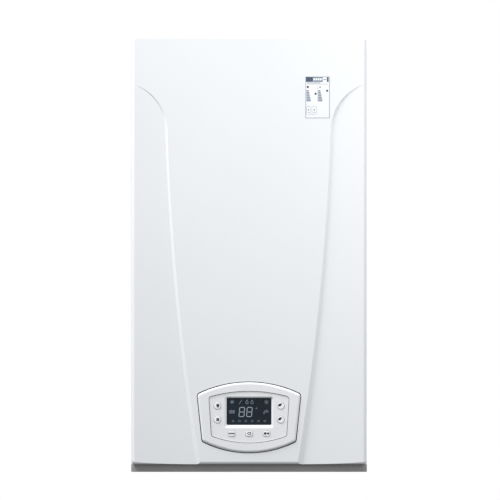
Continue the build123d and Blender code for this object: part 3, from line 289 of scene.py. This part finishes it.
# Water side: forged brass groups with threaded stubs, a brazed stack of steel plates, the pump
# with its black motor can, copper pipes, and moulded knobs for the filling tap and the relief valve.
brass = make_finish(
    "brass", (0.62, 0.44, 0.17), (0.46, 0.31, 0.11), (0.28, 0.46), 24, 460, 0.00006, metal=1.0
)
plate_steel = make_finish(
    "plate_steel", (0.58, 0.57, 0.55), (0.47, 0.45, 0.42), (0.22, 0.36), 16, 420, 0.00003, metal=1.0
)
red_plastic = make_finish(
    "red_plastic", (0.50, 0.022, 0.016), (0.40, 0.017, 0.013), (0.35, 0.48), 40, 700, 0.00004
)
blue_plastic = make_finish(
    "blue_plastic", (0.018, 0.075, 0.34), (0.013, 0.055, 0.27), (0.35, 0.48), 40, 700, 0.00004
)
dress(brass, "flow_group", "return_group", "safety_valve", "air_vent", "cold_inlet")
dress(plate_steel, "plate_exchanger")
dress(switch_plastic, "diverter_motor")
dress(zinc, "diverter_spindle", "pump_rotor")
dress(cast_alloy, "pump_body")
dress(motor_enamel, "pump_motor")
dress(copper, "flow_pipe", "return_pipe", "expansion_pipe", "hot_water_pipe")
dress(red_plastic, "safety_valve_knob")
dress(blue_plastic, "filling_knob")

# Cable gland: black moulded inlet in the base plate, clamped by a nut on each side.
dress(switch_plastic, "cable_gland")

# Control box: dark moulded housing that tilts down on two headed pins held by folded brackets. It
# carries the circuit board.
box_plastic = make_finish(
    "box_plastic", (0.056, 0.066, 0.082), (0.043, 0.051, 0.064), (0.48, 0.64), 10, 900, 0.00008
)
board_lacquer = make_finish(
    "board_lacquer", (0.018, 0.13, 0.052), (0.012, 0.095, 0.038), (0.25, 0.45), 50, 1200, 0.00006
)
dress(box_plastic, "control_box")
dress(zinc, "control_brackets", "hinge_pins")
dress(board_lacquer, "circuit_board")


# Vent slots of the control box: a row of narrow slots through its top wall, which let the warm air
# of the board out. They are drawn as thin black sheets of painted shade, 0.1 mm proud of the wall,
# that stand for the dark inside of the box seen through the slots.
def link_mesh(name, mesh):
    """Object at the origin for a finished mesh."""
    piece = bpy.data.objects.new(name, mesh)
    bpy.context.scene.collection.objects.link(piece)
    return piece


def repeat_tree(name, sizes, finish, build_unit):
    """Geometry Nodes tree that puts one unit on every point of its input mesh.

    sizes gives the named size inputs, and build_unit makes the unit from their sockets."""
    tree = bpy.data.node_groups.new(name, "GeometryNodeTree")
    tree.interface.new_socket("Geometry", in_out="INPUT", socket_type="NodeSocketGeometry")
    for size, value in sizes.items():
        socket = tree.interface.new_socket(size, in_out="INPUT", socket_type="NodeSocketFloat")
        socket.default_value = value
    tree.interface.new_socket("Geometry", in_out="OUTPUT", socket_type="NodeSocketGeometry")
    given = add_node(tree, "NodeGroupInput")
    result = add_node(tree, "NodeGroupOutput")
    points = add_node(tree, "GeometryNodeMeshToPoints")
    spread = add_node(tree, "GeometryNodeInstanceOnPoints")
    solid = add_node(tree, "GeometryNodeRealizeInstances")
    coat = add_node(tree, "GeometryNodeSetMaterial")
    coat.inputs["Material"].default_value = finish
    unit = build_unit(tree, given)
    tree.links.new(given.outputs["Geometry"], points.inputs["Mesh"])
    tree.links.new(points.outputs[0], spread.inputs["Points"])
    tree.links.new(unit, spread.inputs["Instance"])
    tree.links.new(spread.outputs[0], solid.inputs[0])
    tree.links.new(solid.outputs[0], coat.inputs["Geometry"])
    tree.links.new(coat.outputs[0], result.inputs[0])
    return tree


def sized_box(tree, given, across, deep, high):
    """Box node whose three sides come from named sizes."""
    sides = add_node(tree, "ShaderNodeCombineXYZ")
    box = add_node(tree, "GeometryNodeMeshCube")
    tree.links.new(given.outputs[across], sides.inputs[0])
    tree.links.new(given.outputs[deep], sides.inputs[1])
    tree.links.new(given.outputs[high], sides.inputs[2])
    tree.links.new(sides.outputs[0], box.inputs["Size"])
    return box.outputs[0]


def repeated(name, tree, sizes, places, body):
    """Plain mesh of the units on their places, riding on a body."""
    carrier_mesh = bpy.data.meshes.new(name + "_places")
    carrier_mesh.from_pydata(places, [], [])
    carrier = link_mesh(name + "_places", carrier_mesh)
    modifier = carrier.modifiers.new("repeat", "NODES")
    modifier.node_group = tree
    for item in tree.interface.items_tree:
        if item.in_out == "INPUT" and item.name in sizes:
            modifier[item.identifier] = sizes[item.name]
    bpy.context.view_layer.update()
    shown = carrier.evaluated_get(bpy.context.evaluated_depsgraph_get())
    mesh = bpy.data.meshes.new_from_object(shown)
    carrier.modifiers.remove(modifier)
    bpy.data.objects.remove(carrier)
    piece = link_mesh(name, mesh)
    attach(piece, body)


box_low, box_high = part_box("control_box")
slot_sizes = {"Slot width": 0.003, "Slot length": 0.024, "Shade sheet": 0.0002}
slot_count = 22
slot_pitch = 0.009
# Near-black finish of painted shade: it stands for the dark inside of the vent slots and of the screw
# recesses.
painted_shade_black = make_finish(
    "painted_shade_black", (0.006, 0.006, 0.007), (0.004, 0.004, 0.004), (0.7, 0.9), 40, 500, 0.00002
)
vent_tree = repeat_tree(
    "vent_slots",
    slot_sizes,
    painted_shade_black,
    lambda tree, given: sized_box(tree, given, "Slot width", "Slot length", "Shade sheet"),
)
vent_setback = 0.026
vent_row = box_low.y + vent_setback
vent_places = [
    ((index - (slot_count - 1) / 2) * slot_pitch, vent_row, box_high.z) for index in range(slot_count)
]
repeated("vent_slots", vent_tree, slot_sizes, vent_places, "controls")

# Screws: pan heads with a cross recess, on the chamber's lid. Each recess is drawn as two crossed
# black bars on the head, painted shade that stands for the hollow of the recess.
lid_low, lid_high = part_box("chamber_lid")
recess_sizes = {"Arm": 0.0042, "Bar": 0.0009, "Shade sheet": 0.0002}


def cross_unit(tree, given):
    """Two crossed bars."""
    flat = sized_box(tree, given, "Arm", "Shade sheet", "Bar")
    upright = sized_box(tree, given, "Bar", "Shade sheet", "Arm")
    both = add_node(tree, "GeometryNodeJoinGeometry")
    tree.links.new(flat, both.inputs[0])
    tree.links.new(upright, both.inputs[0])
    return both.outputs[0]


def screw_head_places():
    """Front centre of each screw head on the lid, found from the screws' own mesh."""
    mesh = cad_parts["screws"].data
    heads = {}
    reach = 0.012
    lid_margin = 0.002
    for point in mesh.vertices:
        co = point.co
        if co.z < lid_low.z or co.z > lid_high.z or co.y > lid_high.y - lid_margin:
            continue
        key = (round(co.x / reach), round(co.z / reach))
        near = [k for k in heads if abs(k[0] - key[0]) <= 1 and abs(k[1] - key[1]) <= 1]
        heads.setdefault(near[0] if near else key, []).append(co)
    places = []
    for group in heads.values():
        xs = [co.x for co in group]
        zs = [co.z for co in group]
        places.append(((min(xs) + max(xs)) / 2, min(co.y for co in group), (min(zs) + max(zs)) / 2))
    return places


recess_tree = repeat_tree("screw_recesses", recess_sizes, painted_shade_black, cross_unit)
repeated("screw_recesses", recess_tree, recess_sizes, screw_head_places(), "casing")
dress(zinc, "screws")

# Side panels and front cover: steel sheet with a white powder coat, baked to a satin skin with a
# very fine orange peel. The cover is pressed with two creases that run down its face.
cover_paint = make_finish(
    "cover_paint", (0.865, 0.877, 0.892), (0.845, 0.860, 0.878), (0.34, 0.42), 3, 1100, 0.00002, coat=0.12
)
dress(cover_paint, "front_cover", "side_panel_left", "side_panel_right")

# Lower skirt: grey powder-coated rail under the cover, screwed to it from below.
skirt_paint = make_finish(
    "skirt_paint", (0.290, 0.281, 0.281), (0.268, 0.259, 0.259), (0.42, 0.52), 8, 900, 0.00003
)
dress(skirt_paint, "lower_skirt")

# Bezel and fascia: white moulded plastic with a satin skin, in the cover's window. The fascia is a
# shallow cap in the bezel's ring, with holes for the window and the buttons.
bezel_plastic = make_finish(
    "bezel_plastic", (0.86, 0.87, 0.885), (0.84, 0.85, 0.87), (0.24, 0.32), 9, 800, 0.000015, coat=0.25
)
dress(bezel_plastic, "bezel", "fascia")

# Buttons: pale moulded caps that give with a click.
button_plastic = make_finish(
    "button_plastic", (0.95, 0.957, 0.965), (0.93, 0.938, 0.947), (0.28, 0.38), 60, 800, 0.00002, coat=0.15
)
button_names = [f"button_{side}_{row}" for side in ("left", "right") for row in ("upper", "lower")]
key_names = ["key_left", "key_middle", "key_right"]
dress(button_plastic, *button_names, *key_names)

# Display window: smoked plate behind the fascia, in front of a lit panel. Its skin is treated against
# glare, so it reflects little.
smoked = make_finish(
    "smoked_window", (0.012, 0.020, 0.031), (0.009, 0.016, 0.026), (0.10, 0.17), 12, 300, 0.000005
)
smoked.node_tree.nodes["Principled BSDF"].inputs["Specular IOR Level"].default_value = 0.15
dress(smoked, "display_window")


# Lit signs on the display: two figures of seven bars each and a few plain signs, in pale blue-grey.
def prism(shape, outline, back, face):
    """Closed plate over an outline of x and z points, between two depths."""
    rear = [shape.verts.new((x, back, z)) for x, z in outline]
    near = [shape.verts.new((x, face, z)) for x, z in outline]
    shape.faces.new(rear)
    shape.faces.new(near)
    for index in range(len(outline)):
        after = (index + 1) % len(outline)
        shape.faces.new((rear[index], rear[after], near[after], near[index]))


def stroke(shape, start, end, width, back, face):
    """Closed bar between two points of x and z."""
    run = Vector(end) - Vector(start)
    aside = Vector((-run.y, run.x)).normalized() * width / 2
    corners = [Vector(start) + aside, Vector(end) + aside, Vector(end) - aside, Vector(start) - aside]
    prism(shape, [tuple(corner) for corner in corners], back, face)


def disc(shape, centre, radius, back, face, sides=20):
    """Closed round plate."""
    turns = [index * math.tau / sides for index in range(sides)]
    outline = [(centre[0] + radius * math.cos(t), centre[1] + radius * math.sin(t)) for t in turns]
    prism(shape, outline, back, face)


def loop(shape, points, width, back, face):
    """Closed bars that run round the points."""
    for start, end in zip(points, points[1:] + points[:1]):
        stroke(shape, start, end, width, back, face)


def drop_points(centre, radius):
    """Points round a drop that has its tip upwards."""
    tip_reach = 2.3
    points = [
        (centre[0] + radius * math.cos(t), centre[1] + radius * math.sin(t))
        for t in [math.radians(angle) for angle in range(150, 391, 30)]
    ]
    points.append((centre[0], centre[1] + tip_reach * radius))
    return points


def finish_shape(shape, name, finish, body):
    """Turns a shape into a piece that rides on a body."""
    bmesh.ops.recalc_face_normals(shape, faces=shape.faces)
    mesh = bpy.data.meshes.new(name)
    shape.to_mesh(mesh)
    shape.free()
    mesh.materials.append(finish)
    piece = link_mesh(name, mesh)
    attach(piece, body)


def lit_finish(name, colour, strength):
    """Finish of a lit sign, a little uneven in its brightness."""
    finish = make_finish(name, colour, [0.9 * part for part in colour], (0.3, 0.4), 90, 500, 0.00001)
    shader = finish.node_tree.nodes["Principled BSDF"]
    shader.inputs["Emission Color"].default_value = (*colour, 1)
    shader.inputs["Emission Strength"].default_value = strength
    return finish


window_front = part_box("display_window")[0].y
sign_gap = 0.00002
sign_proud = 0.00012
sign_back = window_front - sign_gap
sign_face = window_front - sign_proud
bright_sign = lit_finish("bright_sign", (0.26, 0.31, 0.36), 0.3)
dim_sign = lit_finish("dim_sign", (0.24, 0.29, 0.34), 0.25)
figure_width = 0.0098
figure_height = 0.0168
figure_bar = 0.0013
figure_gap = 0.0003
figure_foot = foot + 0.0933
figure_starts = (-0.0178, -0.0050)
figure_slant = 0.09


def seven_bars(shape, left, low):
    """One figure with all its seven bars lit."""
    half = figure_bar / 2
    rows = (half, figure_height / 2, figure_height - half)
    for row in rows:
        ends = (left + half + figure_gap, left + figure_width - half - figure_gap)
        outline = [
            (ends[0], low + row),
            (ends[0] + half, low + row + half),
            (ends[1] - half, low + row + half),
            (ends[1], low + row),
            (ends[1] - half, low + row - half),
            (ends[0] + half, low + row - half),
        ]
        prism(shape, outline, sign_back, sign_face)
    for column in (left + half, left + figure_width - half):
        for start, end in ((rows[0], rows[1]), (rows[1], rows[2])):
            ends = (low + start + figure_gap, low + end - figure_gap)
            outline = [
                (column, ends[0]),
                (column + half, ends[0] + half),
                (column + half, ends[1] - half),
                (column, ends[1]),
                (column - half, ends[1] - half),
                (column - half, ends[0] + half),
            ]
            prism(shape, outline, sign_back, sign_face)


figures = bmesh.new()
for start in figure_starts:
    seven_bars(figures, start, figure_foot)
for corner in figures.verts:
    corner.co.x += figure_slant * (corner.co.z - figure_foot)
finish_shape(figures, "display_figures", bright_sign, "controls")

signs = bmesh.new()
sign_line = 0.0006
thin_line = 0.0005
upper_row = foot + 0.1188
middle_row = foot + 0.1020
lower_row = foot + 0.0864


def direction(degrees):
    """Unit vector of x and z at an angle."""
    return Vector((math.cos(math.radians(degrees)), math.sin(math.radians(degrees))))


def sign_bar(start, end, width=sign_line):
    """Lit bar on the window."""
    stroke(signs, start, end, width, sign_back, sign_face)


def sign_loop(points, width=sign_line):
    """Lit outline on the window."""
    loop(signs, points, width, sign_back, sign_face)


snow = Vector((-0.0288, upper_row))
snow_reach = 0.0036
for turn in (30, 90, 150):
    arm = direction(turn) * snow_reach
    sign_bar(snow - arm, snow + arm)
slash_half = 0.0035
sign_bar((-0.0168, upper_row - slash_half), (-0.0120, upper_row + slash_half))
drop_radius = 0.0021
drop_sink = 0.0012
for x in (-0.0034, 0.0051):
    sign_loop(drop_points((x, upper_row - drop_sink), drop_radius))

sun = Vector((0.0297, upper_row))
sun_radius = 0.0016
ray_start = 0.0026
ray_end = 0.0040
rays = [direction(turn) for turn in range(0, 360, 45)]
sign_loop([sun + sun_radius * ray for ray in rays])
for ray in rays:
    sign_bar(sun + ray * ray_start, sun + ray * ray_end, thin_line)

column_count = 5
column_start = -0.0325
column_pitch = 0.0019
column_half = 0.0028
for index in range(column_count):
    x = column_start + index * column_pitch
    sign_bar((x, middle_row - column_half), (x, middle_row + column_half))
rail_offset = 0.0018
rail_line = 0.0004
for rail in (-rail_offset, rail_offset):
    sign_bar((-0.0335, middle_row + rail), (-0.0239, middle_row + rail), rail_line)

tap_points = [
    (0.0325, 0.0015),
    (0.0262, 0.0015),
    (0.0245, -0.0030),
    (0.0262, -0.0030),
    (0.0275, -0.0004),
    (0.0325, -0.0004),
]
sign_loop([(x, middle_row + z) for x, z in tap_points], thin_line)
tap_stem = 0.0300
sign_bar((tap_stem, middle_row + 0.0018), (tap_stem, middle_row + 0.0038))
degree = Vector((0.0127, foot + 0.1080))
degree_radius = 0.0010
sign_loop([degree + degree_radius * ray for ray in rays], thin_line)

outline_count = 6
outline_start = -0.0270
outline_pitch = 0.0108
outline_line = 0.0003
half_across, half_high = 0.0016, 0.0012
for index in range(outline_count):
    x = outline_start + index * outline_pitch
    corners = [
        (x - half_across, -half_high),
        (x + half_across, -half_high),
        (x + half_across, half_high),
        (x - half_across, half_high),
    ]
    sign_loop([(across, lower_row + z) for across, z in corners], outline_line)
finish_shape(signs, "display_signs", dim_sign, "controls")

# Signs on the buttons: small marks printed in near black, one for each cap, that ride with it.
print_grey = make_finish(
    "print_grey", (0.012, 0.014, 0.017), (0.018, 0.020, 0.024), (0.5, 0.6), 90, 600, 0.000005
)
print_gap = 0.00001
print_proud = 0.00007


def mark_piece(cap, draw):
    """Printed mark on a cap; draw gets the shape, the cap's centre and the two depths."""
    low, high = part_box(cap)
    shape = bmesh.new()
    centre = Vector(((low.x + high.x) / 2, (low.z + high.z) / 2))
    draw(shape, centre, low.y - print_gap, low.y - print_proud)
    finish_shape(shape, f"mark_{cap}", print_grey, f"{cap}_cap")


def draw_shield(shape, at, back, face):
    """Shield with its narrow end down."""
    outline = [
        (-0.0016, 0.0029),
        (0.0034, 0.0029),
        (0.0034, -0.0004),
        (0.0016, -0.0033),
        (0.0002, -0.0033),
        (-0.0016, -0.0004),
    ]
    prism(shape, [(at.x + x, at.y + z) for x, z in outline], back, face)


def draw_grid(shape, at, back, face):
    """Three bars crossed by two."""
    for row in (-0.0017, 0, 0.0017):
        stroke(shape, at + Vector((-0.0014, row)), at + Vector((0.0030, row)), 0.0014, back, face)
    for column in (-0.0009, 0.0025):
        stroke(shape, at + Vector((column, -0.0024)), at + Vector((column, 0.0024)), 0.0012, back, face)


def draw_quarter(shape, at, back, face):
    """Part of an oval with a flattened inner side."""
    turns = [math.radians(angle) for angle in range(60, 196, 15)]
    rim = [(at.x + 0.0044 * math.cos(turn), at.y + 0.0040 * math.sin(turn)) for turn in turns]
    inner = [(at.x - 0.0010, at.y - 0.0012), (at.x + 0.0012, at.y + 0.0010)]
    prism(shape, rim + inner, back, face)


def draw_bars(shape, at, back, face):
    """Row of four short bars."""
    for x in (-0.0037, -0.0012, 0.0013, 0.0038):
        stroke(shape, at + Vector((x - 0.0011, 0)), at + Vector((x + 0.0011, 0)), 0.0021, back, face)


def draw_pointer(shape, at, back, face):
    """Outline that points to the left."""
    tail = [(0.0028, 0.0018), (-0.0004, 0.0018), (-0.0028, 0), (-0.0004, -0.0018), (0.0028, -0.0018)]
    loop(shape, [(at.x + x, at.y + z) for x, z in tail], 0.0011, back, face)


def draw_dots(shape, at, back, face):
    """Two round dots side by side."""
    disc(shape, at + Vector((-0.0022, 0)), 0.0023, back, face)
    disc(shape, at + Vector((0.0027, 0)), 0.0019, back, face)


marks = {
    "button_left_upper": draw_shield,
    "button_left_lower": draw_grid,
    "button_right_upper": draw_quarter,
    "button_right_lower": draw_quarter,
    "key_left": draw_bars,
    "key_middle": draw_pointer,
    "key_right": draw_dots,
}
for cap, draw in marks.items():
    mark_piece(cap, draw)

# Sticker: thin paper label at the cover's upper right. It is a generic chart: a header band, two
# stacks of bars with round dots beside them, and two small round-cornered fields, with no words.
sticker_left = 0.0955
sticker_right = 0.1370
sticker_foot = foot + 0.5995
sticker_top = foot + 0.6705
paper_back = front - 0.00001
paper_face = front - 0.00012
ink_back = paper_face - 0.00001
ink_face = front - 0.00016
sticker_paper = make_finish(
    "sticker_paper", (0.90, 0.91, 0.92), (0.87, 0.885, 0.90), (0.3, 0.42), 30, 700, 0.00001
)
sticker_ink = make_finish(
    "sticker_ink", (0.22, 0.27, 0.34), (0.18, 0.23, 0.30), (0.5, 0.6), 120, 700, 0.000005
)
sticker_dark = make_finish(
    "sticker_dark", (0.07, 0.10, 0.15), (0.05, 0.08, 0.12), (0.5, 0.6), 120, 700, 0.000005
)
sticker_black = make_finish(
    "sticker_black", (0.010, 0.012, 0.016), (0.015, 0.018, 0.022), (0.5, 0.6), 120, 700, 0.000005
)


def rounded_outline(left, right, low, high, radius):
    """Points of x and z round a rectangle with round corners."""
    points = []
    corners = ((right, high, 0), (left, high, 90), (left, low, 180), (right, low, 270))
    for x, z, start in corners:
        centre = (
            x - radius if x == right else x + radius,
            z - radius if z == high else z + radius,
        )
        for turn in range(start, start + 91, 30):
            angle = math.radians(turn)
            points.append((centre[0] + radius * math.cos(angle), centre[1] + radius * math.sin(angle)))
    return points


def bar(shape, left, right, low, high, radius=0.0002):
    """Printed field between two places in x and z."""
    prism(shape, rounded_outline(left, right, low, high, radius), ink_back, ink_face)


paper = bmesh.new()
prism(
    paper,
    rounded_outline(sticker_left, sticker_right, sticker_foot, sticker_top, 0.0015),
    paper_back,
    paper_face,
)
finish_shape(paper, "sticker", sticker_paper, "cover")

border = bmesh.new()
line = 0.0008
edge = 0.0003
inset = 0.0022
left, right = sticker_left + edge, sticker_right - edge
low, high = sticker_foot + edge, sticker_top - edge
bar(border, left, right, high - line, high)
bar(border, left, right, low, low + line)
bar(border, left, left + line, low + line, high - line)
bar(border, right - line, right, low + line, high - line)
bar(border, left + inset, right - inset, foot + 0.6573, foot + 0.6578)
bar(border, left + inset, left + 0.0250, foot + 0.6590, foot + 0.6600)
bar(border, left + 0.0203, left + 0.0206, foot + 0.6270, foot + 0.6540, 0.0001)
field_low, field_high = foot + 0.6055, foot + 0.6195
field_round = 0.0016
field_line = 0.0004
for field_left, field_right in ((0.0975, 0.1047), (0.1068, 0.1146)):
    field = rounded_outline(field_left, field_right, field_low, field_high, field_round)
    loop(border, field, field_line, ink_back, ink_face)
    middle = (field_left + field_right) / 2
    bar(border, middle - 0.0018, middle + 0.0018, field_low + 0.0036, field_low + 0.0044)
    bar(border, middle - 0.0007, middle + 0.0007, field_low + 0.0068, field_low + 0.0098)
finish_shape(border, "sticker_lines", sticker_ink, "cover")

header_low, header_high = foot + 0.6612, foot + 0.6694
band_left, band_right = 0.1086, 0.1252
band_low, band_high = header_low + 0.0026, header_high - 0.0018
stop_width = 0.0006
header = bmesh.new()
bar(header, left + line, 0.1083, header_low, header_high)
bar(header, 0.1320, 0.1350, header_low, header_high)
finish_shape(header, "sticker_header_dark", sticker_dark, "cover")
header = bmesh.new()
bar(header, band_left, band_right, header_low, band_low)
bar(header, band_left, band_right, band_high, header_high)
for stop in (0.1086, 0.1122, 0.1156, 0.1192, 0.1226, 0.1246):
    bar(header, stop, stop + stop_width, band_low, band_high, 0.0001)
bar(header, 0.1262, 0.1312, header_low + 0.0034, header_low + 0.0046)
finish_shape(header, "sticker_header", sticker_ink, "cover")

# Bars of the sticker's chart: seven to a stack, each a little longer than the one above.
chart_steps = 7
chart_top = foot + 0.6462
chart_pitch = 0.0028
first_bar = 0.0038
bar_growth = 0.0006
bar_depth = paper_face - 0.00003
bar_sizes = {"Bar thickness": 0.0021, "Ink": 0.00005, "Bar length": first_bar}
chart_tree = repeat_tree(
    "chart_bars",
    bar_sizes,
    sticker_ink,
    lambda tree, given: sized_box(tree, given, "Bar length", "Ink", "Bar thickness"),
)
for stack, start in (("left", 0.0974), ("right", 0.1172)):
    for step in range(chart_steps):
        sizes = dict(bar_sizes, **{"Bar length": first_bar + step * bar_growth})
        middle = (start + sizes["Bar length"] / 2, bar_depth, chart_top - step * chart_pitch)
        repeated(f"sticker_bar_{stack}_{step + 1}", chart_tree, sizes, [middle], "cover")

dots = (
    (0.0997, 0.6526, 0.0019),
    (0.1129, 0.6411, 0.0019),
    (0.1324, 0.6462, 0.0018),
    (0.1203, 0.6523, 0.0011),
)
pointers = bmesh.new()
for x, z, radius in dots:
    disc(pointers, (x, foot + z), radius, ink_back, ink_face, sides=16)
finish_shape(pointers, "sticker_pointers", sticker_black, "cover")
